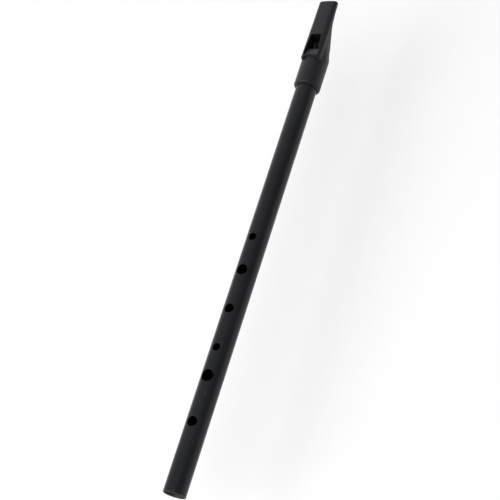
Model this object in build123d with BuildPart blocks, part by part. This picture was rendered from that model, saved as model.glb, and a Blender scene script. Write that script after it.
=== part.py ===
"""A high D tin whistle: a thin metal tube with a moulded mouthpiece that slides on it for tuning.

The whistle lies along +X. The origin is on the axis at the foot of the tube, the
mouthpiece is at the +X end, and the window and the finger holes face +Z. Millimetres.
"""
import os

from build123d import *

# Body tube
tube_length = 258.0
tube_radius = 6.0
tube_wall = 0.5
bore_radius = tube_radius - tube_wall
end_round = 0.15  # deburred ends of the tube
# finger holes, as (distance from the foot, diameter), from the lowest note up
finger_holes = [(36.7, 5.5), (61.8, 6.7), (77.5, 4.3), (99.7, 5.3), (122.5, 6.1), (142.3, 4.4)]

# Mouthpiece: where its features stand, measured from the foot
socket_rim = 241.7
tube_stop = 258.3  # shoulder that the tube is pushed home against
block_step = 258.0  # the raised block starts here
ramp_foot = 259.9
ramp_turn = 260.9  # the ramp starts steep and flattens here
blade_edge = 265.3
windway_exit = 274.4
tip = 299.0

# Mouthpiece: sections
socket_radius = 7.65
sliding_clearance = 0.05
socket_rim_round = 1.4
block_half_width = 6.15
block_top_at_step = 8.6
block_top_at_tip = 8.05
block_step_slant = 0.8
block_step_bow = 1.7  # how much further up the beak the step's middle stands than its two ends
crown_drop = 0.4  # how far the top falls from its middle to its edges
shoulder_round = 2.3
tip_half_width = 5.7
tip_corner_round = 0.6
beak_underside = 3.8  # height of the beak's flat underside above the axis
floor_wall = 1.3  # wall under the air chamber
side_wall = 1.1  # wall beside it

# Air path
chamber_radius = 5.2  # a little under the tube's bore, so that a cleaning rod stops at its edge
windway_half_width = 3.2
ramp_half_width = 4.6  # at the ramp's foot; window and ramp widen to it from the windway
ramp_turn_height = 7.6
blade_height = 6.2
windway_floor = 5.4
windway_height_inside = 1.1
windway_height_at_tip = 1.3

# Plug rails, which hold the plug in a groove on each side of the keyway
rail_width = 0.6
rail_low, rail_high = 4.3, 4.9

room = 12.0  # reaches past every face that a cut goes through

# The underside rises from the round socket to the thin beak in one long S
belly = [(259.5, -7.9), (266.0, -5.0), (274.5, -0.8), (280.3, 2.35), (288.0, beak_underside)]
belly_tangents = [(1.0, 0.2), (1.0, 0.0)]
# Seen from above the sides draw in from the socket to the beak
flank = [(259.0, 7.9), (264.0, 7.2), (268.8, 6.5), (274.5, 6.05), (288.0, 5.8)]


def moved(points, step):
    """The same profile with its second coordinate moved by a step."""
    return [(along, across + step) for along, across in points]


os.makedirs("parts", exist_ok=True)

# --- body tube ---------------------------------------------------------------------
with BuildPart() as body_tube:
    with BuildSketch(Plane.YZ):
        Circle(tube_radius)
        Circle(bore_radius, mode=Mode.SUBTRACT)
    extrude(amount=tube_length)
    rims = body_tube.edges().filter_by(GeomType.CIRCLE).sort_by(SortBy.RADIUS)[-2:]
    fillet(rims, radius=end_round)
    with BuildSketch(Plane.XY):
        for distance, diameter in finger_holes:
            with Locations((distance, 0)):
                Circle(diameter / 2)
    extrude(amount=room, mode=Mode.SUBTRACT)

# --- mouthpiece shell --------------------------------------------------------------
with BuildPart() as mouthpiece_shell:
    # round socket, running on under the block
    with BuildSketch(Plane.YZ.offset(socket_rim)):
        Circle(socket_radius)
    extrude(amount=tip - socket_rim)
    # raised block, from the step to the tip, with a slanted edge round its front
    with BuildPart(mode=Mode.PRIVATE) as block:
        for station, top in ((block_step, block_top_at_step), (tip, block_top_at_tip)):
            with BuildSketch(Plane.YZ.offset(station)):
                with BuildLine():
                    left = (-block_half_width, top - crown_drop)
                    right = (block_half_width, top - crown_drop)
                    ThreePointArc(left, (0, top), right)
                    Polyline(right, (block_half_width, 0), (-block_half_width, 0), left)
                make_face()
                fillet(vertices().group_by(Axis.Y)[-1], radius=shoulder_round)
        loft()
        front = block.faces().sort_by(Axis.X)[0]
        chamfer(front.edges().sort_by(Axis.Z)[1:], length=block_step_slant)
        # the step is bowed, with the socket's round top running on as far as the step
        with BuildPart(mode=Mode.PRIVATE) as bow:
            with BuildSketch(Plane.XY):
                with BuildLine():
                    ends = [(block_step, -ramp_half_width), (block_step, ramp_half_width)]
                    ThreePointArc(ends[0], (block_step + block_step_bow, 0), ends[1])
                    Line(ends[1], ends[0])
                make_face()
            extrude(amount=room)
            with BuildSketch(Plane.YZ.offset(block_step)):
                Circle(socket_radius)
            extrude(amount=block_step_bow, mode=Mode.SUBTRACT)
        add(bow.part, mode=Mode.SUBTRACT)
    add(block.part)
    # side view: everything below the long S of the underside goes
    with BuildSketch(Plane.XZ):
        with BuildLine():
            Spline(belly, tangents=belly_tangents)
            Polyline(
                belly[-1],
                (tip + room, beak_underside),
                (tip + room, room),
                (socket_rim - room, room),
                (socket_rim - room, -room),
                (belly[0][0], -room),
                belly[0],
            )
        make_face()
    extrude(amount=room, both=True, mode=Mode.INTERSECT)
    # top view: the sides draw in to the beak
    with BuildSketch(Plane.XY):
        with BuildLine():
            Spline(flank)
            Polyline(
                flank[-1],
                (tip, tip_half_width),
                (tip, 0),
                (socket_rim - room, 0),
                (socket_rim - room, room),
                (flank[0][0], room),
                flank[0],
            )
        make_face()
        tip_corner = vertices().sort_by_distance((tip, tip_half_width))[0]
        fillet(tip_corner, radius=tip_corner_round)
        mirror(about=Plane.XZ)
    extrude(amount=room, both=True, mode=Mode.INTERSECT)
    rim = mouthpiece_shell.edges().filter_by(GeomType.CIRCLE).sort_by(Axis.X)[0]
    fillet(rim, radius=socket_rim_round)
    # socket for the tube, down to the stop
    with BuildSketch(Plane.YZ.offset(socket_rim)):
        Circle(tube_radius + sliding_clearance)
    extrude(amount=tube_stop - socket_rim, mode=Mode.SUBTRACT)
    # air chamber: the air column carried on, over a floor that follows the underside
    with BuildPart(mode=Mode.PRIVATE) as chamber:
        with BuildSketch(Plane.YZ.offset(tube_stop)):
            Circle(chamber_radius)
        extrude(amount=windway_exit - tube_stop)
        with BuildSketch(Plane.XZ):
            with BuildLine():
                Spline(moved(belly, floor_wall), tangents=belly_tangents)
                Polyline(
                    moved(belly, floor_wall)[-1],
                    (belly[-1][0], room),
                    (tube_stop - room, room),
                    (tube_stop - room, -room),
                    (belly[0][0], -room),
                    moved(belly, floor_wall)[0],
                )
            make_face()
        extrude(amount=room, both=True, mode=Mode.INTERSECT)
        with BuildSketch(Plane.XY):
            with BuildLine():
                Spline(moved(flank, -side_wall))
                Polyline(
                    moved(flank, -side_wall)[-1],
                    (flank[-1][0], 0),
                    (tube_stop - room, 0),
                    (tube_stop - room, room),
                    (flank[0][0], room),
                    moved(flank, -side_wall)[0],
                )
            make_face()
            mirror(about=Plane.XZ)
        extrude(amount=room, both=True, mode=Mode.INTERSECT)
    add(chamber.part, mode=Mode.SUBTRACT)
    # window, the ramp behind its blade, and the windway
    with BuildPart(mode=Mode.PRIVATE) as air_path:
        with BuildSketch(Plane.XZ):
            with BuildLine():
                Polyline(
                    (blade_edge, blade_height),
                    (ramp_turn, ramp_turn_height),
                    (ramp_foot, block_top_at_step),
                    (ramp_foot, room),
                    (windway_exit, room),
                    (windway_exit, windway_floor + windway_height_inside),
                    (tip, windway_floor + windway_height_at_tip),
                    (tip, windway_floor),
                    (windway_exit, windway_floor),
                    (windway_exit, beak_underside),
                    (blade_edge, beak_underside),
                    close=True,
                )
            make_face()
        extrude(amount=room, both=True)
        with BuildSketch(Plane.XY):
            with BuildLine():
                Polyline(
                    (ramp_foot, 0),
                    (ramp_foot, ramp_half_width),
                    (windway_exit, windway_half_width),
                    (tip, windway_half_width),
                    (tip, 0),
                    close=True,
                )
            make_face()
            mirror(about=Plane.XZ)
        extrude(amount=room, both=True, mode=Mode.INTERSECT)
    add(air_path.part, mode=Mode.SUBTRACT)
    # keyway for the plug, open below, with a groove on each side for its rails
    with BuildSketch(Plane.YZ.offset(windway_exit)):
        with Locations((0, windway_floor)):
            Rectangle(2 * windway_half_width, room, align=(Align.CENTER, Align.MAX))
        with Locations((0, rail_low)):
            Rectangle(
                2 * (windway_half_width + rail_width),
                rail_high - rail_low,
                align=(Align.CENTER, Align.MIN),
            )
    extrude(amount=tip - windway_exit, mode=Mode.SUBTRACT)

# --- fipple plug -------------------------------------------------------------------
with BuildPart() as fipple_plug:
    with BuildSketch(Plane.YZ.offset(windway_exit)):
        with Locations((0, windway_floor)):
            Rectangle(2 * windway_half_width, room, align=(Align.CENTER, Align.MAX))
        with Locations((0, rail_low)):
            Rectangle(
                2 * (windway_half_width + rail_width),
                rail_high - rail_low,
                align=(Align.CENTER, Align.MIN),
            )
    extrude(amount=tip - windway_exit)
    with BuildSketch(Plane.XZ):
        with BuildLine():
            Spline(belly, tangents=belly_tangents)
            Polyline(
                belly[-1],
                (tip + room, beak_underside),
                (tip + room, room),
                (belly[0][0], room),
                belly[0],
            )
        make_face()
    extrude(amount=room, both=True, mode=Mode.INTERSECT)

for piece, name in (
    (body_tube, "body_tube"),
    (mouthpiece_shell, "mouthpiece_shell"),
    (fipple_plug, "fipple_plug"),
):
    piece.part.label = name
    export_step(piece.part, f"parts/{name}.step")
    print(name, round(piece.part.volume, 1), piece.part.bounding_box())
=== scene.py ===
import math

import bmesh
import bpy
import numpy as np
from mathutils import Matrix, Vector


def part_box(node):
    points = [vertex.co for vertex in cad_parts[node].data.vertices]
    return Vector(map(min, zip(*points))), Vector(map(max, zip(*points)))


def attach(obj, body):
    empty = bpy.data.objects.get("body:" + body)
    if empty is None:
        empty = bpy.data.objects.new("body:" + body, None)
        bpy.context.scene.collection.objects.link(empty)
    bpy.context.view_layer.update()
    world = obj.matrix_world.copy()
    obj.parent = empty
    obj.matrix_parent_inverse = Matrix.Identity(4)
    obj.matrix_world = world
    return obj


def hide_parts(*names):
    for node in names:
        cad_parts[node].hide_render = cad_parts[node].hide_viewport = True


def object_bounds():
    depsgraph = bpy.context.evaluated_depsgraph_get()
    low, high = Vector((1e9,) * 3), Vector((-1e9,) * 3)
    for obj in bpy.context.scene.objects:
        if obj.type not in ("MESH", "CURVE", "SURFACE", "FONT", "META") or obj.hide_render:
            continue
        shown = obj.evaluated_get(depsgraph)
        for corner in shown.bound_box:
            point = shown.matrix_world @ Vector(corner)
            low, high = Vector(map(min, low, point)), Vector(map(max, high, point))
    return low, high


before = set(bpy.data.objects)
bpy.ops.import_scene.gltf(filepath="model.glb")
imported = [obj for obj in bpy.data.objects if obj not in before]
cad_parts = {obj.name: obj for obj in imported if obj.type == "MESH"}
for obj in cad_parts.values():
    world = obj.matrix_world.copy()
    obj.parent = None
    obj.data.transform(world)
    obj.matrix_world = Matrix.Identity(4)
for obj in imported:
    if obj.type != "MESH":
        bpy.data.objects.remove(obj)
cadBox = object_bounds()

# A tin whistle: a lacquered brass tube, a moulded mouthpiece and the plug inside it. It lies along +X,
# with the foot of its tube at the origin and its window facing +Z. Everything is worked out in
# millimetres and scaled to metres as each mesh is made.
mm = 0.001
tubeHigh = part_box("body_tube")[1] / mm
headLow, headHigh = (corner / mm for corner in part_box("mouthpiece_shell"))
plugLow, plugHigh = (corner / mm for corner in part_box("fipple_plug"))


def fromFrame(*values):
    # the frame's own single-precision corners, back to the tenths and hundredths they were drawn with
    return [round(value, 2) for value in values]


weldGap = 0.002  # points nearer to each other than this are welded into one


def makePiece(name, body, material, replaced, sheets, polygons=(), wear=None, sharpAngle=32):
    # every sheet is a grid of points whose quads join neighbours in both directions; welding the
    # points that coincide joins sheets along the borders that they share
    corners, faces = [], []
    start = 0
    for sheet in sheets:
        rows, columns = sheet.shape[:2]
        index = start + np.arange(rows * columns).reshape(rows, columns)
        quads = [index[:-1, :-1], index[1:, :-1], index[1:, 1:], index[:-1, 1:]]
        faces.extend(np.stack(quads, axis=-1).reshape(-1, 4).tolist())
        corners.append(sheet.reshape(-1, 3))
        start += rows * columns
    for loop in polygons:
        faces.append(list(range(start, start + len(loop))))
        corners.append(loop)
        start += len(loop)
    mesh = bpy.data.meshes.new(name)
    mesh.from_pydata((np.concatenate(corners) * mm).tolist(), [], faces)
    work = bmesh.new()
    work.from_mesh(mesh)
    bmesh.ops.remove_doubles(work, verts=work.verts, dist=weldGap * mm)
    bmesh.ops.dissolve_degenerate(work, edges=work.edges, dist=weldGap * mm)
    bmesh.ops.recalc_face_normals(work, faces=work.faces)
    work.to_mesh(mesh)
    work.free()
    mesh.polygons.foreach_set("use_smooth", np.ones(len(mesh.polygons), bool))
    mesh.set_sharp_from_angle(angle=math.radians(sharpAngle))
    if wear is not None:
        points = np.empty(len(mesh.vertices) * 3, np.float32)
        mesh.vertices.foreach_get("co", points)
        amount = wear(points.reshape(-1, 3) / mm)
        # on the tube this mark also holds painted light: paler brass at the bore's mouth
        mesh.attributes.new("wear", "FLOAT", "POINT").data.foreach_set("value", amount.astype(np.float32))
    mesh.materials.append(material)
    piece = bpy.data.objects.new(name, mesh)
    bpy.context.scene.collection.objects.link(piece)
    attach(piece, body)
    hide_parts(replaced)
    print(name, len(mesh.polygons), "faces")
    return piece


def quarter(count):
    # evenly turned steps through a quarter circle, from 0 to a right angle
    return np.linspace(0, math.pi / 2, count)


def flowing(knots, at):
    # a cubic through given knots, with each knot's slope taken from its neighbours, level at both ends
    knotX, knotY = np.array(knots, float).T
    slope = np.gradient(knotY, knotX)
    slope[0] = slope[-1] = 0
    span = np.clip(np.searchsorted(knotX, at, side="right") - 1, 0, len(knotX) - 2)
    width = knotX[span + 1] - knotX[span]
    t = np.clip((at - knotX[span]) / width, 0, 1)
    rise = (3 - 2 * t) * t * t
    value = knotY[span] * (1 - rise) + knotY[span + 1] * rise
    return value + width * (t * (1 - t) ** 2 * slope[span] - t * t * (1 - t) * slope[span + 1])


def newGroup(name, inputs, outputs):
    # an empty node group: its inputs are (kind, name, value), its outputs (kind, name)
    group = bpy.data.node_groups.new(name, "ShaderNodeTree")
    for kind, label, value in inputs:
        socket = group.interface.new_socket(name=label, in_out="INPUT", socket_type=kind)
        if value is not None:
            socket.default_value = value
    for kind, label in outputs:
        group.interface.new_socket(name=label, in_out="OUTPUT", socket_type=kind)
    return group, group.nodes.new("NodeGroupInput"), group.nodes.new("NodeGroupOutput")


def feed(tree, socket, value):
    # another node's output is linked to the socket; a plain value is set on it
    if isinstance(value, bpy.types.NodeSocket):
        tree.links.new(value, socket)
    else:
        socket.default_value = value


def addNode(tree, kind, settings=None, **inputs):
    # an input is named as its socket is, with _ for a space, or _0, _1 for sockets that share a name
    node = tree.nodes.new("ShaderNode" + kind)
    for key, value in (settings or {}).items():
        setattr(node, key, value)
    for key, value in inputs.items():
        socket = node.inputs[int(key[1:])] if key[0] == "_" else node.inputs[key.replace("_", " ")]
        feed(tree, socket, value)
    return node


def scaled(tree, source, fromLow, fromHigh, toLow, toHigh):
    # a value carried smoothly from one range to another
    settings = {"interpolation_type": "SMOOTHSTEP"}
    node = addNode(tree, "MapRange", settings, Value=source, From_Min=fromLow, From_Max=fromHigh,
                   To_Min=toLow, To_Max=toHigh)
    return node.outputs[0]


def maths(tree, operation, first, second):
    # one number worked out from two
    return addNode(tree, "Math", {"operation": operation}, _0=first, _1=second).outputs[0]


def objectPoint(tree):
    # the point on the surface, in the piece's own space
    return tree.nodes.new("ShaderNodeTexCoord").outputs["Object"]


def edgeWearGroup():
    # where handling has rubbed the finish: near an edge, broken up by noise
    group, given, result = newGroup("edgeWear", [
        ("NodeSocketVector", "Point", None), ("NodeSocketFloat", "Nearness", 0.0),
        ("NodeSocketFloat", "Amount", 0.5), ("NodeSocketFloat", "Breakup", 900.0)],
        [("NodeSocketFloat", "Mask")])
    patches = addNode(group, "TexNoise", Vector=given.outputs["Point"], Scale=given.outputs["Breakup"],
                      Detail=3.0, Roughness=0.6).outputs[0]
    uneven = maths(group, "ADD", given.outputs["Nearness"], scaled(group, patches, 0.3, 0.7, -0.35, 0.35))
    threshold = maths(group, "SUBTRACT", 1.0, given.outputs["Amount"])
    over = maths(group, "SUBTRACT", uneven, threshold)
    group.links.new(scaled(group, over, 0.0, 0.22, 0.0, 1.0), result.inputs["Mask"])
    return group


def fineGrainGroup():
    # the fine uneven skin of a moulded or sprayed surface: a height for bump and a roughness that drifts
    group, given, result = newGroup("fineGrain", [
        ("NodeSocketVector", "Point", None), ("NodeSocketFloat", "Grain Scale", 2500.0),
        ("NodeSocketFloat", "Roughness Low", 0.3), ("NodeSocketFloat", "Roughness High", 0.4)],
        [("NodeSocketFloat", "Height"), ("NodeSocketFloat", "Roughness")])
    grain = addNode(group, "TexNoise", Vector=given.outputs["Point"], Scale=given.outputs["Grain Scale"],
                    Detail=2.0, Roughness=0.5).outputs[0]
    drift = addNode(group, "TexNoise", Vector=given.outputs["Point"], Scale=90.0, Detail=4.0,
                    Roughness=0.62).outputs[0]
    spread = scaled(group, drift, 0.3, 0.7, given.outputs["Roughness Low"],
                    given.outputs["Roughness High"])
    group.links.new(grain, result.inputs["Height"])
    group.links.new(spread, result.inputs["Roughness"])
    return group


def dustGroup():
    # pale specks and faint handling smears; Specks is a mask for the colour, Smears for the gloss
    group, given, result = newGroup("dust", [
        ("NodeSocketVector", "Point", None), ("NodeSocketFloat", "Speck Scale", 700.0),
        ("NodeSocketFloat", "Speck Share", 0.1)],
        [("NodeSocketFloat", "Specks"), ("NodeSocketFloat", "Smears")])
    cells = addNode(group, "TexVoronoi", Vector=given.outputs["Point"], Scale=given.outputs["Speck Scale"])
    dots = scaled(group, cells.outputs["Distance"], 0.05, 0.2, 1.0, 0.0)
    split = addNode(group, "SeparateColor", Color=cells.outputs["Color"])
    few = maths(group, "LESS_THAN", split.outputs[0], given.outputs["Speck Share"])
    smears = addNode(group, "TexNoise", Vector=given.outputs["Point"], Scale=55.0, Detail=5.0,
                     Roughness=0.7, Distortion=0.8).outputs[0]
    group.links.new(maths(group, "MULTIPLY", dots, few), result.inputs["Specks"])
    group.links.new(scaled(group, smears, 0.5, 0.72, 0.0, 1.0), result.inputs["Smears"])
    return group


def drawnLinesGroup():
    # faint lines along the tube, left by drawing and buffing it, that show through the lacquer
    group, given, result = newGroup("drawnLines", [
        ("NodeSocketVector", "Point", None), ("NodeSocketFloat", "Line Scale", 900.0)],
        [("NodeSocketFloat", "Height")])
    stretched = addNode(group, "Mapping", Vector=given.outputs["Point"], Scale=(0.02, 1.0, 1.0))
    lines = addNode(group, "TexNoise", Vector=stretched.outputs[0], Scale=given.outputs["Line Scale"],
                    Detail=3.0, Roughness=0.55).outputs[0]
    group.links.new(lines, result.inputs["Height"])
    return group


edgeWear = edgeWearGroup()
fineGrain = fineGrainGroup()
dust = dustGroup()
drawnLines = drawnLinesGroup()


def placeGroup(tree, group, **inputs):
    # a shared effect placed in one material, with that material's own values
    node = tree.nodes.new("ShaderNodeGroup")
    node.node_tree = group
    for key, value in inputs.items():
        feed(tree, node.inputs[key.replace("_", " ")], value)
    return node


def mixColours(tree, amount, first, second):
    # from the first colour to the second as the amount goes from 0 to 1
    node = tree.nodes.new("ShaderNodeMix")
    node.data_type = "RGBA"
    for index, value in ((0, amount), (6, first), (7, second)):
        feed(tree, node.inputs[index], value)
    return node.outputs[2]


def newMaterial(name):
    # a material with nothing in it but a shader joined to the output
    material = bpy.data.materials.new(name)
    material.use_nodes = True
    tree = material.node_tree
    tree.nodes.clear()
    shader = tree.nodes.new("ShaderNodeBsdfPrincipled")
    output = tree.nodes.new("ShaderNodeOutputMaterial")
    tree.links.new(shader.outputs[0], output.inputs["Surface"])
    return material, tree, shader


def setSockets(shader, values):
    # what is the same all over the surface is set on the shader itself
    for socket, value in values.items():
        shader.inputs[socket].default_value = value


blackLacquer = {
    "deep": (0.0050, 0.0053, 0.0066, 1), "faded": (0.0071, 0.0075, 0.0090, 1),
    "brass": (0.12, 0.107, 0.088, 1), "dust": (0.12, 0.12, 0.115, 1),
    "glossLow": 0.22, "glossHigh": 0.3, "smearGloss": 0.08, "bareMetal": 0.5, "fadeScale": 38.0,
    "wearScale": 1400.0, "wearAmount": 0.42, "grainScale": 1600.0, "grainDepth": 0.000001,
    "lineScale": 900.0, "lineDepth": 0.0000015,
    "speckScale": 420.0, "speckShare": 0.05, "speckStrength": 0.35,
    "sockets": {"IOR": 1.33, "Specular Tint": (0.9, 0.93, 1.0, 1)},
}


def lacquerMaterial():
    # satin lacquer that fades in patches, worn through to tarnished brass where the mesh is marked worn; on
    # the tube that mark also paints light at the bore's mouth as paler brass
    spec = blackLacquer
    material, tree, shader = newMaterial("blackLacquerOnBrass")
    point = objectPoint(tree)
    # on the tube the wear mark also carries painted light at the bore's mouth, shown as paler brass
    nearness = addNode(tree, "Attribute", {"attribute_name": "wear"}).outputs["Fac"]
    worn = placeGroup(tree, edgeWear, Point=point, Nearness=nearness, Amount=spec["wearAmount"],
                      Breakup=spec["wearScale"]).outputs["Mask"]
    skin = placeGroup(tree, fineGrain, Point=point, Grain_Scale=spec["grainScale"],
                      Roughness_Low=spec["glossLow"], Roughness_High=spec["glossHigh"])
    marks = placeGroup(tree, dust, Point=point, Speck_Scale=spec["speckScale"],
                       Speck_Share=spec["speckShare"])
    lines = placeGroup(tree, drawnLines, Point=point, Line_Scale=spec["lineScale"])
    fading = addNode(tree, "TexNoise", Vector=point, Scale=spec["fadeScale"], Detail=4.0).outputs[0]
    paint = mixColours(tree, scaled(tree, fading, 0.35, 0.65, 0.0, 1.0), spec["deep"], spec["faded"])
    specks = maths(tree, "MULTIPLY", marks.outputs["Specks"], spec["speckStrength"])
    dusted = mixColours(tree, specks, paint, spec["dust"])
    tree.links.new(mixColours(tree, worn, dusted, spec["brass"]), shader.inputs["Base Color"])
    tree.links.new(maths(tree, "MULTIPLY", worn, spec["bareMetal"]), shader.inputs["Metallic"])
    smeared = maths(tree, "ADD", skin.outputs["Roughness"],
                    maths(tree, "MULTIPLY", marks.outputs["Smears"], spec["smearGloss"]))
    tree.links.new(smeared, shader.inputs["Roughness"])
    fine = addNode(tree, "Bump", Strength=0.35, Distance=spec["grainDepth"], Height=skin.outputs["Height"])
    ridged = addNode(tree, "Bump", Strength=0.5, Distance=spec["lineDepth"], Height=lines.outputs["Height"],
                     Normal=fine.outputs[0])
    tree.links.new(ridged.outputs[0], shader.inputs["Normal"])
    setSockets(shader, spec["sockets"])
    return material


blackPlastic = {
    "deep": (0.0080, 0.0081, 0.0100, 1), "scuffed": (0.0165, 0.0166, 0.019, 1),
    "dust": (0.14, 0.14, 0.135, 1),
    "glossLow": 0.33, "glossHigh": 0.43, "smearGloss": 0.07, "rubGloss": 0.1,
    "wearScale": 800.0, "wearAmount": 0.38, "grainScale": 2600.0, "grainDepth": 0.000003,
    "speckScale": 500.0, "speckShare": 0.07, "speckStrength": 0.3,
    "sockets": {"IOR": 1.36, "Specular Tint": (0.9, 0.9, 1.0, 1)},
}


def plasticMaterial(name, glossShift=0.0):
    # moulded plastic with a fine grain, paler and smoother on the edges that handling has rubbed
    spec = blackPlastic
    material, tree, shader = newMaterial(name)
    point = objectPoint(tree)
    nearness = addNode(tree, "Attribute", {"attribute_name": "wear"}).outputs["Fac"]
    worn = placeGroup(tree, edgeWear, Point=point, Nearness=nearness, Amount=spec["wearAmount"],
                      Breakup=spec["wearScale"]).outputs["Mask"]
    skin = placeGroup(tree, fineGrain, Point=point, Grain_Scale=spec["grainScale"],
                      Roughness_Low=spec["glossLow"] + glossShift,
                      Roughness_High=spec["glossHigh"] + glossShift)
    marks = placeGroup(tree, dust, Point=point, Speck_Scale=spec["speckScale"],
                       Speck_Share=spec["speckShare"])
    scuffed = mixColours(tree, worn, spec["deep"], spec["scuffed"])
    specks = maths(tree, "MULTIPLY", marks.outputs["Specks"], spec["speckStrength"])
    dusted = mixColours(tree, specks, scuffed, spec["dust"])
    tree.links.new(dusted, shader.inputs["Base Color"])
    rubbed = maths(tree, "MULTIPLY", worn, spec["rubGloss"])
    polished = maths(tree, "SUBTRACT", skin.outputs["Roughness"], rubbed)
    smears = maths(tree, "MULTIPLY", marks.outputs["Smears"], spec["smearGloss"])
    smeared = maths(tree, "ADD", polished, smears)
    tree.links.new(smeared, shader.inputs["Roughness"])
    bump = addNode(tree, "Bump", Strength=0.5, Distance=spec["grainDepth"], Height=skin.outputs["Height"])
    tree.links.new(bump.outputs[0], shader.inputs["Normal"])
    setSockets(shader, spec["sockets"])
    return material


tubeLength, tubeRadius = fromFrame(tubeHigh.x, tubeHigh.y)
tubeSpec = {
    "wall": 0.5, "endRound": 0.15, "lipRound": 0.14,
    # finger holes, as distance from the foot and diameter
    "holes": [(36.7, 5.5), (61.8, 6.7), (77.5, 4.3), (99.7, 5.3), (122.5, 6.1), (142.3, 4.4)],
    # the square of wall round each hole: half its length, half its turn, and the steps along one side
    "patchHalf": 4.4, "patchTurn": math.radians(46), "patchSteps": 22,
    # rings between that square and the hole, and how they crowd towards the hole
    "collarRings": 12, "collarCrowding": 1.4,
    # steps over a rounded edge and round the rest of the tube, and the distance between stations
    "edgeSteps": 6, "roundSteps": 76, "spacing": 1.6,
    # wear on an edge, and how far it reaches
    "endWear": (0.5, 0.35), "lipWear": (0.45, 0.22),
    # the least wear in the bore, how near its wall counts as in it, and how deep the painted light at its
    # mouth reaches, painted as bare brass
    "boreWear": 0.3, "boreMargin": 0.01, "litMouthDepth": 14,
}


def wearFrom(distance, edge):
    # an edge's wear is greatest on the edge itself and falls by a factor of e with each reach from it
    amount, reach = edge
    return amount * np.exp(-distance / reach)


def onTube(along, turn, radius):
    # a point on a cylinder about the X axis, its turn measured from the top towards +Y
    along, turn, radius = np.broadcast_arrays(along, turn, radius)
    return np.stack([along, radius * np.sin(turn), radius * np.cos(turn)], axis=-1)


def carried(profile, turns):
    # a profile of (distance along, radius) carried round the axis through the given turns
    return onTube(profile[:, :1], turns[None, :], profile[:, 1:])


def tubeEnd(endX, inward, reach, steps):
    # the wall's profile at one end: along the outside to the end, round both edges, back along the bore
    outer, inner, soft = tubeRadius, tubeRadius - tubeSpec["wall"], tubeSpec["endRound"]
    along = np.linspace(reach, endX + inward * soft, steps)
    turn = quarter(tubeSpec["edgeSteps"])
    outerArc = np.stack([endX + inward * soft * (1 - np.sin(turn)), outer - soft * (1 - np.cos(turn))], 1)
    innerArc = np.stack([endX + inward * soft * (1 - np.cos(turn)), inner + soft * (1 - np.sin(turn))], 1)
    runOut = np.stack([along, np.full(steps, outer)], 1)
    runBack = np.stack([along[::-1], np.full(steps, inner)], 1)
    return np.concatenate([runOut, outerArc[1:], innerArc, runBack[1:]])


def holeCollar(centre, diameter):
    # rings round a finger hole, from a square patch of the outside in to the hole's edge, over its
    # rounded lip, down the drilled wall and out again to the same patch of the bore's wall
    spec = tubeSpec
    half, turn, count, soft = spec["patchHalf"], spec["patchTurn"], spec["patchSteps"], spec["lipRound"]
    inner = tubeRadius - spec["wall"]
    side = np.linspace(-1, 1, count + 1)[:-1]
    squareU = np.concatenate([side, np.ones(count), -side, -np.ones(count), [-1]]) * half
    squareV = np.concatenate([-np.ones(count), side, np.ones(count), -side, [-1]]) * turn
    heading = np.arctan2(squareV * tubeRadius, squareU)
    away = np.stack([np.cos(heading), np.sin(heading)])

    def spread(radius, reach):
        # straight lines on the unrolled wall, from the hole's edge out to the square, closer near the hole
        edgeU = reach * away[0]
        edgeV = np.arcsin(reach * away[1] / radius)
        t = np.linspace(1, 0, spec["collarRings"])[:, None] ** spec["collarCrowding"]
        return onTube(centre + edgeU + (squareU - edgeU) * t, edgeV + (squareV - edgeV) * t, radius)

    hole = diameter / 2
    bend = quarter(spec["edgeSteps"])[1:, None]
    lipReach = hole + soft * (1 - np.sin(bend))
    lipDepth = soft * (1 - np.cos(bend))
    planX, planY = lipReach * away[0], lipReach * away[1]
    lip = np.stack([centre + planX, planY, np.sqrt(tubeRadius**2 - planY**2) - lipDepth], axis=-1)
    outside = spread(tubeRadius, hole + soft)
    inside = spread(inner, hole)[::-1]
    return np.concatenate([outside, lip, inside])


def tubeWearAndLitMouth(points):
    # how bare the brass is: a little at the two ends and the hole edges from wear, and in the bore's mouth
    # at the foot a painted highlight:
    # the brass there is the tube's own metal, but the bell curve that fades it to the thin overspray further
    # in paints the light coming into the bore
    x, y, z = points.T
    spec = tubeSpec
    ends = np.minimum(x, tubeLength - x)
    near = wearFrom(np.maximum(ends, 0), spec["endWear"])
    for centre, diameter in spec["holes"]:
        off = np.abs(np.hypot(x - centre, y) - diameter / 2)
        near = np.maximum(near, np.where(z > 0, wearFrom(off, spec["lipWear"]), 0))
    inside = np.hypot(y, z) < tubeRadius - spec["wall"] + spec["boreMargin"]
    # the bell curve at the bore's mouth is painted light entering the bore, shown as bare brass
    return np.where(inside, spec["boreWear"] + np.exp(-((x / spec["litMouthDepth"]) ** 2)), near)


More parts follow.
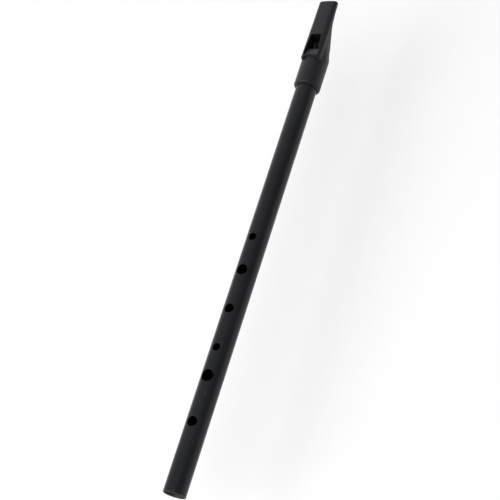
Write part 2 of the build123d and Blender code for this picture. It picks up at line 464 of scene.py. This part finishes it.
def makeTube(material):
    # a hollow cylinder: each end's profile carried round the axis, and between them rings of wall, with
    # a collar set into the top of each ring that has a finger hole
    spec = tubeSpec
    inner = tubeRadius - spec["wall"]
    half, turn, step = spec["patchHalf"], spec["patchTurn"], spec["spacing"]
    across = np.linspace(-turn, turn, spec["patchSteps"] + 1)
    around = np.linspace(turn, 2 * math.pi - turn, spec["roundSteps"] + 1)
    holes = spec["holes"]
    starts = [centre - half for centre, diameter in holes]
    ends = [centre + half for centre, diameter in holes]
    footReach, headReach = starts[0], ends[-1]
    foot = tubeEnd(0.0, 1, footReach, int(footReach / step))
    head = tubeEnd(tubeLength, -1, headReach, int((tubeLength - headReach) / step))
    sheets = [carried(foot, across), carried(head, across), carried(foot, around), carried(head, around)]
    for number, (centre, diameter) in enumerate(holes):
        sheets.append(holeCollar(centre, diameter))
        stations = np.linspace(starts[number], ends[number], spec["patchSteps"] + 1)
        sheets.extend(onTube(stations[:, None], around[None], radius) for radius in (tubeRadius, inner))
        if number + 1 < len(holes):
            gap = starts[number + 1] - ends[number]
            stations = np.linspace(ends[number], starts[number + 1], int(gap / step) + 2)
            for turns in (across, around):
                sheets.extend(onTube(stations[:, None], turns[None], radius)
                              for radius in (tubeRadius, inner))
    return makePiece("bodyTube", "tube", material, "body_tube", sheets, wear=tubeWearAndLitMouth)


rim, tip, socketRadius, blockTop = fromFrame(headLow.x, headHigh.x, headHigh.y, headHigh.z)
windwayExit = fromFrame(plugLow.x)[0]
windwayFloor = fromFrame(plugHigh.z)[0]
headSpec = {
    "bore": 6.05, "boreChamfer": 0.15, "rimRound": 1.4, "stop": 258.3, "step": 258.0, "stepSlant": 0.8,
    "stepBow": 1.7, "stepRise": 0.3,
    "rampFoot": 259.9, "rampTurn": 260.9, "rampTurnHeight": 7.6, "blade": 265.3, "bladeHeight": 6.2,
    # half the distance between the window's two sides: it widens from the windway to the ramp's foot
    "windowHalf": [(259.9, 4.6), (274.4, 3.2)],
    "windwayCeiling": 6.5, "windwayCeilingAtTip": 6.65,
    "chamber": 5.2, "floorWall": 1.3, "sideWall": 1.1, "topAtTip": 8.05, "crown": 0.4,
    "shoulder": 2.6, "shoulderLimit": 0.97,  # the limit is a share of the height above the middle
    "tipCorner": 0.5, "tipTopRound": 1.2, "tipUnderRound": 0.4, "blend": 40,
    # half-width of the raised block, and of the round body that it stands on
    "blockHalf": [(258.3, 6.12), (274.4, 6.0), (299.0, 5.7)],
    "bodyHalf": [(260.5, 7.65), (264.0, 7.2), (268.8, 6.45), (274.5, 5.75), (283.0, 5.3), (299.0, 5.0)],
    # the underside's long S, and how round its lower corners are
    "belly": [(259.8, -7.65), (262.9, -7.2), (266.0, -5.0), (271.7, -2.35), (277.3, 0.9), (283.5, 3.35),
              (289.0, 3.8), (299.0, 3.8)],
    "lowerCorner": [(260.0, 7.65), (264.0, 6.0), (268.8, 3.0), (273.0, 1.6), (299.0, 1.5)],
    # steps across the top, down one side, across the bottom, round the rim and the tip, and down the
    # window's walls above, beside and below the chamber
    "across": 24, "side": 44, "bottom": 24, "rimSteps": 9, "tipSteps": 10,
    "aboveSteps": 6, "besideSteps": 8, "belowSteps": 4,
    # the distance between stations on each stretch
    "spacing": {"body": 0.45, "step": 0.05, "steep": 0.18, "ramp": 0.3, "window": 0.35, "bore": 1.0},
    # wear on an edge, and how far it reaches
    "rimWear": (0.9, 0.5), "tipWear": (0.8, 1.1), "stepWear": (0.8, 0.35), "windowWear": (0.7, 0.3),
    # the heights above which the step is all edge, the step is rubbed at all, and the window's edge is
    "stepEdgeLow": 7.2, "stepWearLow": 6, "windowEdgeLow": 7.4,
}


def rayToBox(cosine, sine, half, height, corner):
    # how far a ray from the middle goes before it meets the flat side, the flat top or the round
    # corner of a box section
    side = half / np.maximum(np.abs(cosine), 1e-9)
    top = height / np.maximum(np.abs(sine), 1e-9)
    middleY, middleZ = half - corner, height - corner
    along = np.abs(cosine) * middleY + np.abs(sine) * middleZ
    inside = along**2 - middleY**2 - middleZ**2 + corner**2
    arc = along + np.sqrt(np.maximum(inside, 0))
    onCorner = (inside >= 0) & (np.abs(cosine) * arc >= middleY) & (np.abs(sine) * arc >= middleZ)
    return np.where(onCorner, arc, np.minimum(side, top))


def softMax(first, second):
    # the larger of two lengths, with a small fillet where they are equal
    power = headSpec["blend"]
    larger = np.maximum(first, second)
    return larger * ((first / larger) ** power + (second / larger) ** power) ** (1 / power)


def cornerDrop(across, half, corner):
    # how far a box section's top has fallen, at a distance out from its middle
    past = np.clip(np.abs(across) - (half - corner), 0, corner)
    return corner - np.sqrt(corner**2 - past**2)


def windowHalf(x):
    # half the distance between the window's sides at each station: straight between the given ones
    stations, halves = np.array(headSpec["windowHalf"]).T
    return np.interp(x, stations, halves)[:, None]


def drawnIn(toEnd, radius):
    # how far a rounded edge has drawn in, at a distance before its end: a quarter circle
    near = np.clip(1 - toEnd / radius, 0, 1)
    return radius * (1 - np.sqrt(1 - near**2))


def sectionSizes(x, block):
    # the sizes of the section at each station: its middle's height, the block's half-width, height and
    # shoulder, the round body's half-width and height, and the depth and corner of the lower half
    spec = headSpec
    cornerRound = drawnIn(tip - x, spec["tipCorner"])
    topRound = drawnIn(tip - x, spec["tipTopRound"])
    underRound = drawnIn(tip - x, spec["tipUnderRound"])
    rimRound = drawnIn(x - rim, spec["rimRound"])
    belly = flowing(spec["belly"], x)
    middle = (belly + socketRadius) / 2
    sizes = {"middle": middle}
    slope = (x - spec["step"]) / (tip - spec["step"])
    slant = np.clip(spec["stepSlant"] - (x - spec["step"]), 0, spec["stepSlant"])
    top = blockTop + (spec["topAtTip"] - blockTop) * slope - topRound - slant
    blockHalf = flowing(spec["blockHalf"], x) - cornerRound - slant
    bodyHalf = flowing(spec["bodyHalf"], x) - cornerRound - rimRound
    bodyHeight = socketRadius - middle - rimRound - topRound
    if not block:
        top = socketRadius - rimRound
        blockHalf = bodyHalf
    sizes["half"] = blockHalf
    sizes["height"] = top - middle
    shoulder = np.minimum(spec["shoulder"] - slant, spec["shoulderLimit"] * sizes["height"])
    sizes["shoulder"] = shoulder if block else blockHalf
    sizes["bodyHalf"], sizes["bodyHeight"] = bodyHalf, bodyHeight
    sizes["widest"] = softMax(blockHalf, bodyHalf) if block else bodyHalf
    sizes["depth"] = middle - belly - underRound - rimRound
    corner = np.minimum(flowing(spec["lowerCorner"], x) - rimRound, sizes["widest"])
    sizes["corner"] = np.minimum(corner, sizes["depth"])
    sizes["crown"] = np.full_like(x, spec["crown"] if block else 0.0)
    return {name: value[:, None] for name, value in sizes.items()}


def crowned(sizes, across, up):
    # the top is crowned: it falls towards its edges with the square of the distance out
    share = np.clip(up / sizes["height"], 0, 1)
    return up - sizes["crown"] * (across / sizes["half"]) ** 2 * share


def gridOf(x, across, height):
    # a grid of points from each station's distances across and heights
    x, across, height = np.broadcast_arrays(x[:, None], across, height)
    return np.stack([x, across, height], axis=-1)


def topStrip(x, block=True):
    # the part of the top between the window's two sides
    sizes = sectionSizes(x, block)
    across = windowHalf(x) * np.linspace(-1, 1, headSpec["across"] + 1)[None]
    up = sizes["height"] - cornerDrop(across, sizes["half"], sizes["shoulder"])
    height = sizes["middle"] + crowned(sizes, across, up)
    if block:
        # the step is bowed: its middle stands further up the beak than its two ends, and the socket's
        # round top runs on as far as the step
        bow = headSpec["stepBow"] * (1 - (across / across[:, -1:]) ** 2)
        past = (x[:, None] - headSpec["step"] - bow) / headSpec["stepRise"] + 1
        risen = np.clip(past, 0, 1)
        low = np.minimum(height, np.sqrt(socketRadius**2 - across**2))
        height = low + (height - low) * risen
    return gridOf(x, across, height)


def bottomStrip(x, block=True):
    # the part of the underside between the plug's two sides
    sizes = sectionSizes(x, block)
    across = windowHalf(x) * np.linspace(-1, 1, headSpec["bottom"] + 1)[None]
    down = sizes["depth"] - cornerDrop(across, sizes["widest"], sizes["corner"])
    return gridOf(x, across, sizes["middle"] - down)


def sideRays(sizes, cosine, sine, block=True):
    # ray lengths to the outside: block and round body above the middle, the lower box below it
    upper = rayToBox(cosine, sine, sizes["half"], sizes["height"], sizes["shoulder"])
    oval = 1 / np.sqrt((cosine / sizes["bodyHalf"]) ** 2 + (sine / sizes["bodyHeight"]) ** 2)
    lower = rayToBox(cosine, sine, sizes["widest"], sizes["depth"], sizes["corner"])
    return np.where(sine >= 0, softMax(upper, oval) if block else oval, lower)


def sideSheet(x, block=True):
    # the +Y side, from the top strip's edge round to the bottom strip's edge
    sizes = sectionSizes(x, block)
    half = windowHalf(x)
    upFrom = sizes["height"] - cornerDrop(half, sizes["half"], sizes["shoulder"])
    downTo = sizes["depth"] - cornerDrop(half, sizes["widest"], sizes["corner"])
    first, last = np.arctan2(upFrom, half), -np.arctan2(downTo, half)
    turn = first + (last - first) * np.linspace(0, 1, headSpec["side"] + 1)[None]
    cosine, sine = np.cos(turn), np.sin(turn)
    reach = sideRays(sizes, cosine, sine, block)
    across, up = reach * cosine, reach * sine
    return gridOf(x, across, sizes["middle"] + crowned(sizes, across, up))


def mirrored(sheet):
    # the same points on the -Y side
    return sheet * np.array([1, -1, 1])


def wholeLoop(x, block):
    # the closed outline at each station: top strip, +Y side, bottom strip, -Y side
    side = sideSheet(x, block)
    parts = [topStrip(x, block), side[:, 1:], bottomStrip(x, block)[:, -2::-1], mirrored(side)[:, -2::-1]]
    return np.concatenate(parts, axis=1)


def circleLoop(x, radius):
    # a circle about the axis at each station, its points at the same turns as the outline's
    station = np.array([headSpec["step"]])
    side, top = sideSheet(station, block=False)[0], topStrip(station, block=False)[0]
    loop = np.concatenate([top, side[1:], top[-2::-1] * [1, 1, -1], mirrored(side)[-2::-1]])
    turn = np.arctan2(loop[:, 1], loop[:, 2])
    return onTube(x[:, None], turn[None], radius[:, None])


def chamberSide(x):
    # the air chamber's +Y side: a circle, or a wall's thickness inside the outside where that is nearer
    spec = headSpec
    sizes = sectionSizes(x, block=True)
    half = windowHalf(x)
    middle = sizes["middle"]
    ceiling = np.sqrt(spec["chamber"] ** 2 - half**2)
    floor = chamberFloor(x)[:, -1:, 2]
    first, last = np.arctan2(ceiling - middle, half), np.arctan2(floor - middle, half)
    share = np.linspace(0, 1, spec["side"] + 1)[None]
    turn = first + (last - first) * share
    cosine, sine = np.cos(turn), np.sin(turn)
    circle = -middle * sine + np.sqrt(spec["chamber"] ** 2 - (middle * cosine) ** 2)
    reach = np.minimum(circle, sideRays(sizes, cosine, sine) - spec["sideWall"])
    meet = half / np.cos(last)
    reach = reach * (1 + (meet / reach[:, -1:] - 1) * share**2)
    return gridOf(x, reach * cosine, middle + reach * sine)


def chamberFloor(x):
    # the chamber's floor: the circle's own, or a wall's thickness over the underside where that is higher
    spec = headSpec
    outside = bottomStrip(x)
    across = outside[:, :, 1]
    circle = -np.sqrt(spec["chamber"] ** 2 - across**2)
    return gridOf(x, across, np.maximum(circle, outside[:, :, 2] + spec["floorWall"]))


def chamberCeiling(x):
    # the chamber's ceiling: the top of its circle
    across = topStrip(x)[:, :, 1]
    return gridOf(x, across, np.sqrt(headSpec["chamber"] ** 2 - across**2))


def lineOf(x, high, low, count):
    # a wall in the plane of the window's side: straight columns from high to low at each station
    share = np.linspace(0, 1, count + 1)[None]
    high, low = np.broadcast_to(high, x.shape)[:, None], np.broadcast_to(low, x.shape)[:, None]
    return gridOf(x, windowHalf(x), high + (low - high) * share)


def headWear(points):
    # how rubbed each point is: most on the socket's rim, the step, the window's edges and the beak's tip
    x, y, z = points.T
    spec = headSpec
    near = wearFrom(np.maximum(x - rim, 0), spec["rimWear"])
    near = np.maximum(near, wearFrom(np.maximum(tip - x, 0), spec["tipWear"]))
    stepEdge = np.hypot(x - spec["step"], np.minimum(z - spec["stepEdgeLow"], 0))
    onStep = z > spec["stepWearLow"]
    near = np.maximum(near, np.where(onStep, wearFrom(stepEdge, spec["stepWear"]), 0))
    alongWindow = np.clip(np.maximum(spec["rampFoot"] - x, x - windwayExit), 0, None)
    past = np.abs(y) - windowHalf(x)[:, 0]
    windowEdge = np.hypot(past, alongWindow)
    farEdge = np.hypot(x - windwayExit, np.clip(past, 0, None))
    nearest = np.minimum(windowEdge, farEdge)
    onTop = z > spec["windowEdgeLow"]
    return np.maximum(near, np.where(onTop, wearFrom(nearest, spec["windowWear"]), 0))


def makeShell(material):
    # a closed skin of sheets that share their borders: the outside, the ramp and the window's walls, the
    # windway and the keyway below it, the air chamber, and the socket's bore
    spec = headSpec
    exitX, stop = windwayExit, spec["stop"]

    def stations(start, end, stretch="body"):
        spacing = spec["spacing"][stretch]
        return np.linspace(start, end, int(math.ceil((end - start) / spacing)) + 1)

    roundIn = rim + spec["rimRound"] * (1 - np.cos(quarter(spec["rimSteps"])))
    roundOut = tip - spec["tipCorner"] * (1 - np.sin(quarter(spec["tipSteps"])))
    socketX = np.concatenate([roundIn, stations(roundIn[-1], spec["step"])[1:]])
    beforeStop, afterStop = stations(spec["step"], stop, "step"), stations(stop, spec["rampFoot"], "step")
    landX = np.concatenate([beforeStop[:-1], afterStop])
    steepX = stations(spec["rampFoot"], spec["rampTurn"], "steep")
    rampX = np.concatenate([steepX, stations(spec["rampTurn"], spec["blade"], "ramp")[1:]])
    windowX = stations(spec["blade"], exitX, "window")
    beakX = np.concatenate([stations(exitX, roundOut[0])[:-1], roundOut])
    bodyX = np.concatenate([landX[:-1], rampX[:-1], windowX])
    stepX, stopX = np.array([spec["step"]]), np.array([stop])

    # outside
    sheets = [wholeLoop(socketX, block=False)]
    sheets.append(np.concatenate([wholeLoop(stepX, block=False), wholeLoop(stepX, block=True)]))
    sheets.extend([topStrip(landX), bottomStrip(bodyX), topStrip(beakX)])
    for side in (sideSheet(bodyX), sideSheet(beakX)):
        sheets.extend([side, mirrored(side)])

    # ramp and window
    def edgeOf(x):
        return topStrip(x)[:, -1, 2]

    def ceilingEdge(x):
        return chamberCeiling(x)[:, -1, 2]

    # the ramp falls steeply from the land to its turn, then gently to the blade
    rampTop = topStrip(rampX)
    steep = np.clip((rampX - spec["rampFoot"]) / (spec["rampTurn"] - spec["rampFoot"]), 0, 1)[:, None]
    gentle = np.clip((rampX - spec["rampTurn"]) / (spec["blade"] - spec["rampTurn"]), 0, 1)[:, None]
    rampZ = rampTop[:1, :, 2] * (1 - steep) + spec["rampTurnHeight"] * steep
    rampZ = rampZ - (spec["rampTurnHeight"] - spec["bladeHeight"]) * gentle
    ramp = gridOf(rampX, rampTop[:, :, 1], rampZ)
    rise = (windowX - windowX[0]) / (windowX[-1] - windowX[0])
    ledge = spec["bladeHeight"] + (spec["windwayCeiling"] - spec["bladeHeight"]) * rise
    above, beside, below = spec["aboveSteps"], spec["besideSteps"], spec["belowSteps"]
    walls = [
        lineOf(rampX, edgeOf(rampX), rampZ[:, -1], above),
        lineOf(windowX, edgeOf(windowX), ledge, above),
        lineOf(windowX, ledge, ceilingEdge(windowX), above),
    ]
    bladeX, exitStation = np.array([spec["blade"]]), np.array([exitX])
    blade = np.linspace(ramp[-1], chamberCeiling(bladeX)[0], above + 1)
    exitLip = topStrip(exitStation)[0]
    windwayMouth = exitLip * [1, 1, 0] + [0, 0, spec["windwayCeiling"]]
    sheets.extend([ramp, blade, np.linspace(exitLip, windwayMouth, above + 1)])

    # windway and keyway: one channel, open below, that the plug fills up to the windway's floor
    slope = (beakX - exitX) / (tip - exitX)
    ceiling = spec["windwayCeiling"] + (spec["windwayCeilingAtTip"] - spec["windwayCeiling"]) * slope
    under = bottomStrip(beakX)[:, -1, 2]
    floorEnd = chamberFloor(exitStation)[0, -1, 2]
    wallTop = ceilingEdge(exitStation)[0]
    levels = np.concatenate([
        np.linspace(spec["windwayCeiling"], wallTop, above + 1),
        np.linspace(wallTop, floorEnd, beside + 1)[1:],
        np.linspace(floorEnd, under[0], below + 1)[1:],
    ])
    share = (levels - levels[0]) / (levels[-1] - levels[0])
    channelZ = ceiling[:, None] + (under - ceiling)[:, None] * share[None]
    channelWall = gridOf(beakX, windowHalf(beakX), channelZ)
    acrossTop = exitLip[:, 1]
    sheets.append(gridOf(beakX, acrossTop[None], ceiling[:, None]))
    walls.append(channelWall)

    # chamber, its end beside the plug, and the socket's bore
    chamberX = bodyX[bodyX > stop - weldGap]
    closedX = chamberX[chamberX < spec["blade"] + weldGap]
    sheets.extend([chamberFloor(chamberX), chamberCeiling(closedX)])
    walls.append(chamberSide(chamberX))
    sheets.append(np.linspace(chamberFloor(exitStation)[0], bottomStrip(exitStation)[0], below + 1))
    for wall in walls:
        sheets.extend([wall, mirrored(wall)])
    besideChamber = channelWall[0, above:above + beside + 1]
    endSide = np.concatenate([chamberSide(exitStation)[0], besideChamber[-2:0:-1]])
    lipTop = topStrip(beakX[-1:])[0]
    lipBottom = np.stack([np.full_like(acrossTop, tip), acrossTop, np.full_like(acrossTop, ceiling[-1])], -1)
    sheets.append(np.stack([lipTop, lipBottom]))
    tipSide = np.concatenate([sideSheet(beakX[-1:])[0], channelWall[-1][-2::-1]])
    polygons = [endSide, mirrored(endSide), tipSide, mirrored(tipSide)]

    chamfer = spec["boreChamfer"]
    boreX = np.concatenate([[rim, rim + chamfer], stations(rim + chamfer, stop, "bore")[1:]])
    boreR = np.concatenate([[spec["bore"] + chamfer], np.full(len(boreX) - 1, spec["bore"])])
    bore = circleLoop(boreX, boreR)
    rimLoop = wholeLoop(socketX[:1], block=False)
    side = chamberSide(stopX)
    chamberStart = [chamberCeiling(stopX), side[:, 1:], chamberFloor(stopX)[:, -2::-1],
                    mirrored(side)[:, -2::-1]]
    sheets.extend([bore, np.concatenate([rimLoop, bore[:1]])])
    sheets.append(np.concatenate([bore[-1:], np.concatenate(chamberStart, axis=1)]))
    return makePiece("mouthpieceShell", "mouthpiece", material, "mouthpiece_shell",
                     sheets, polygons, wear=headWear)


# gap and setBack keep the plug's faces just clear of the keyway's
plugSpec = {
    "gap": 0.04, "setBack": 0.06, "lengthSteps": 48, "edgeSteps": 7, "wallSteps": 6, "tipWear": (0.6, 0.8),
}


def plugWear(points):
    # the plug is worn only at the beak's tip
    return wearFrom(np.abs(tip - points[:, 0]), plugSpec["tipWear"])


def makePlug(material):
    # a bar that fills the keyway: a flat top, straight sides and an underside flush with the beak's
    spec = plugSpec
    gap, steps = spec["gap"], spec["wallSteps"] + 1
    plugHalf = windowHalf(np.array([tip]))[0, 0]
    shrink = (plugHalf - gap) / plugHalf
    roundOut = tip - headSpec["tipUnderRound"] * (1 - np.sin(quarter(spec["edgeSteps"])))
    start = windwayExit + spec["setBack"]
    x = np.concatenate([np.linspace(start, roundOut[0], spec["lengthSteps"])[:-1], roundOut])
    under = bottomStrip(x) * [1, shrink, 1] + [0, 0, gap / 2]
    top = under * [1, 1, 0] + [0, 0, windwayFloor]
    side = np.linspace(top[:, -1], under[:, -1], steps, axis=1)
    ends = [np.linspace(top[row], under[row], steps) for row in (0, -1)]
    return makePiece("fipplePlug", "mouthpiece", material, "fipple_plug",
                     [under, top, side, mirrored(side), *ends], wear=plugWear)


# a sheet of pale paper: half its side in metres, how far it lies below the whistle in millimetres, and
# the points along one side
stageSpec = {
    "paper": (0.9, 0.9, 0.9, 1), "fibre": (0.88, 0.88, 0.88, 1), "fibreScale": 60.0,
    "half": 3.0, "clear": 40.0, "count": 9,
    "sockets": {"Roughness": 0.9, "Specular IOR Level": 0.1},
}


def makeFloor():
    # a flat, level, square grid, its middle below the foot
    spec = stageSpec
    half, count = spec["half"], spec["count"]
    steps = np.linspace(-half, half, count)
    level = cadBox[0].z - spec["clear"] * mm
    across, along = np.meshgrid(steps, steps)
    points = np.stack([across, along, np.full_like(across, level)], -1).reshape(-1, 3)
    index = np.arange(count * count).reshape(count, count)
    quads = np.stack([index[:-1, :-1], index[:-1, 1:], index[1:, 1:], index[1:, :-1]], -1).reshape(-1, 4)
    mesh = bpy.data.meshes.new("studioFloor")
    mesh.from_pydata(points.tolist(), [], quads.tolist())
    material, tree, shader = newMaterial("paleFloor")
    fibres = addNode(tree, "TexNoise", Vector=objectPoint(tree), Scale=spec["fibreScale"],
                     Detail=3.0).outputs[0]
    tree.links.new(mixColours(tree, fibres, spec["paper"], spec["fibre"]), shader.inputs["Base Color"])
    setSockets(shader, spec["sockets"])
    mesh.materials.append(material)
    floor = bpy.data.objects.new("studioFloor", mesh)
    bpy.context.scene.collection.objects.link(floor)


# each lamp is a square panel: where it stands from the whistle's middle, in metres, its side and its power
lampSpec = {
    "keyPanel": ((-0.7, 0.8, 1.0), 0.9, 8.5),
    "topPanel": ((-0.7, -0.2, 1.5), 1.2, 7.0),
}
# the studio's walls: brighter on the +Y side than on the -Y side, with a glow low down beyond the beak
wallSpec = {
    "towards": (0.1, 0.85, 0.5), "dim": 0.4, "bright": 0.85,
    "glowFrom": (0.87, 0.42, 0.25), "glow": 0.7,
}


def makeLights():
    # each panel faces the whistle's middle, and the walls' light is a smooth function of direction
    middle = Vector(((cadBox[0].x + cadBox[1].x) / 2, 0, 0))
    for name, (offset, side, power) in lampSpec.items():
        lamp = bpy.data.lights.new(name, "AREA")
        lamp.shape = "SQUARE"
        lamp.size = side
        lamp.energy = power
        holder = bpy.data.objects.new(name, lamp)
        holder.location = middle + Vector(offset)
        holder.rotation_mode = "QUATERNION"
        holder.rotation_quaternion = (-Vector(offset)).to_track_quat("-Z", "Y")
        bpy.context.scene.collection.objects.link(holder)
    world = bpy.data.worlds.new("studio")
    world.use_nodes = True
    tree = world.node_tree
    tree.nodes["Background"].inputs["Color"].default_value = (1, 1, 1, 1)
    heading = tree.nodes.new("ShaderNodeTexCoord").outputs["Generated"]

    def facing(direction):
        unit = Vector(direction).normalized()
        return addNode(tree, "VectorMath", {"operation": "DOT_PRODUCT"}, _0=heading,
                       _1=tuple(unit)).outputs["Value"]

    walls = scaled(tree, facing(wallSpec["towards"]), -0.5, 0.7, wallSpec["dim"], wallSpec["bright"])
    glow = scaled(tree, facing(wallSpec["glowFrom"]), 0.8, 1.0, 0.0, wallSpec["glow"])
    tree.links.new(maths(tree, "ADD", walls, glow), tree.nodes["Background"].inputs["Strength"])
    bpy.context.scene.world = world
    bpy.context.scene.view_settings.view_transform = "Standard"


# the camera looks down from beside the foot; turn and tilt are its heading and downward angle, and
# roll stands the whistle up in the frame, in degrees; aim and distance are in millimetres
cameraSpec = {
    "aim": (137.010, 2.418, 0.0), "distance": 642.3, "turn": -38.570, "tilt": 51.153, "roll": -40.036,
    "lens": 86.4, "sensor": 36.0,
}


def makeCamera():
    # the camera stands back from its aim along its own line of sight
    spec = cameraSpec
    camera = bpy.data.cameras.new("viewCamera")
    camera.lens, camera.sensor_width = spec["lens"], spec["sensor"]
    camera.clip_start, camera.clip_end = 0.01, 20
    holder = bpy.data.objects.new("viewCamera", camera)
    bpy.context.scene.collection.objects.link(holder)
    heading = Matrix.Rotation(math.radians(spec["turn"]), 4, "Z")
    lean = Matrix.Rotation(math.radians(90 - spec["tilt"]), 4, "X")
    roll = Matrix.Rotation(math.radians(spec["roll"]), 4, "Z")
    stance = heading @ lean @ roll
    aim = Vector(spec["aim"]) * mm
    back = stance @ Vector((0, 0, 1))
    holder.matrix_world = Matrix.Translation(aim + back * spec["distance"] * mm) @ stance
    bpy.context.scene.camera = holder


lacquer = lacquerMaterial()
plastic = plasticMaterial("mouldedBlackPlastic")
plugPlastic = plasticMaterial("mouldedPlugPlastic", glossShift=0.08)
print("materials made")
makeTube(lacquer)
makeShell(plastic)
makePlug(plugPlastic)
makeFloor()
makeLights()
makeCamera()
print("stage, lights and camera made")

bpy.context.view_layer.update()
